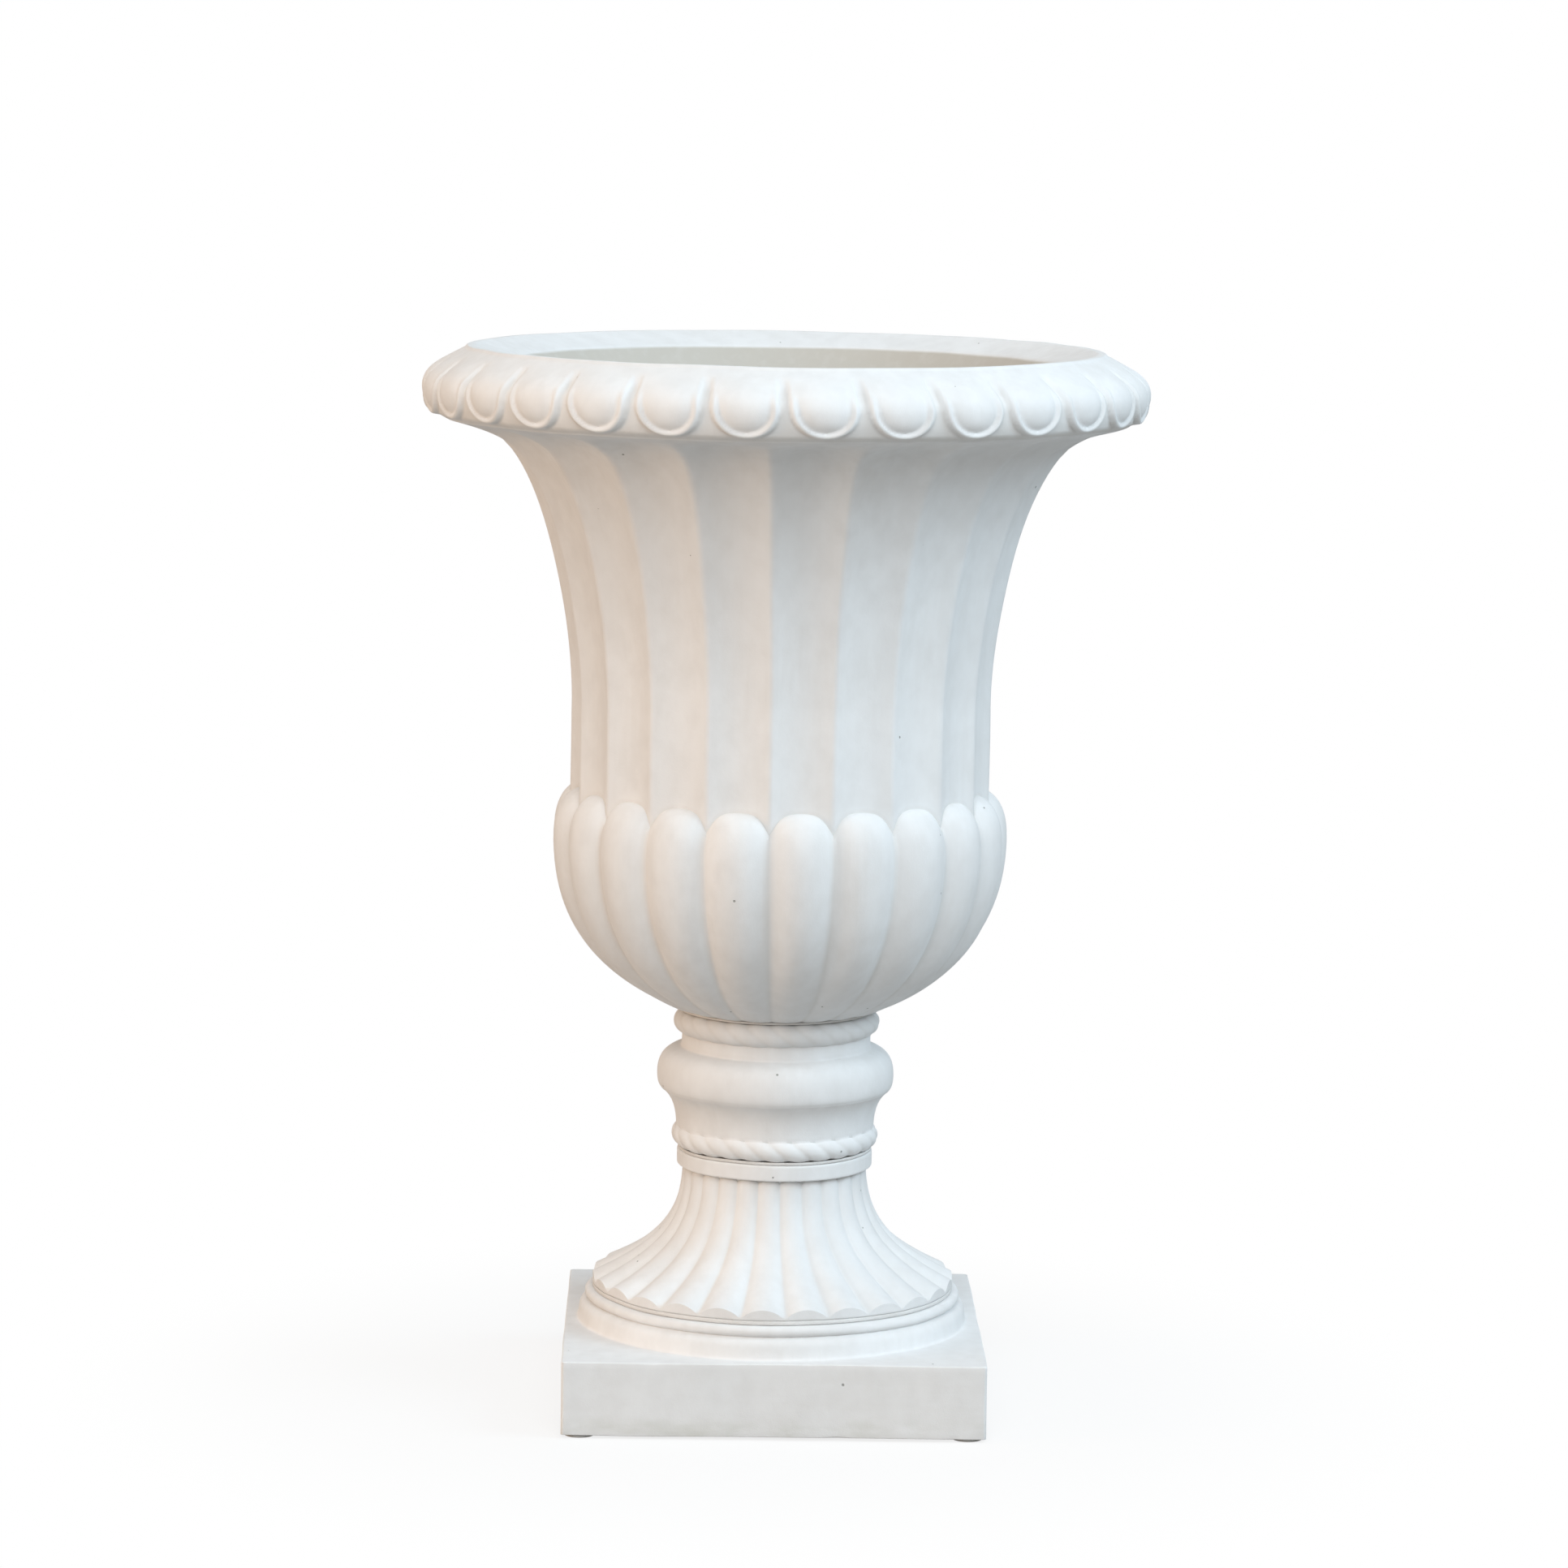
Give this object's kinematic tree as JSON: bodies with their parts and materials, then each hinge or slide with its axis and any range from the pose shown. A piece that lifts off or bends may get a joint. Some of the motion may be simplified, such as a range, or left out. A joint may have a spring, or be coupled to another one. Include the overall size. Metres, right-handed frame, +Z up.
{
  "type": "urn planter",
  "caption": "Garden urn planter: fluted bell bowl with egg moulded rim and gadrooned cup, on a knopped stem, ribbed foot and square plinth.",
  "frame": {"origin": "on the ground at the middle of the square plinth, under the pads", "axes": "+Z up along the tie rod, X and Y parallel to the plinth's sides, front faces -Y"},
  "size_m": [0.5198, 0.5198, 0.76],
  "materials": {
    "cast_stone": "matte cast, fine pits",
    "mortar": "matte",
    "zinc_steel": "zinc plated",
    "rubber": "matte, pale grey"
  },
  "bodies": {
    "root": {"bowl": "cast_stone", "stem": "cast_stone", "foot": "cast_stone", "plinth": "cast_stone", "bowl_bed": "mortar", "stem_bed": "mortar", "foot_bed": "mortar", "tie_rod": "zinc_steel", "top_nut": "zinc_steel", "top_washer": "zinc_steel", "sealing_washer": "rubber", "bottom_washer": "zinc_steel", "bottom_nut": "zinc_steel", "lock_nut": "zinc_steel", "pad_front_left": "rubber", "pad_front_right": "rubber", "pad_back_left": "rubber", "pad_back_right": "rubber"}
  },
  "joints": []
}
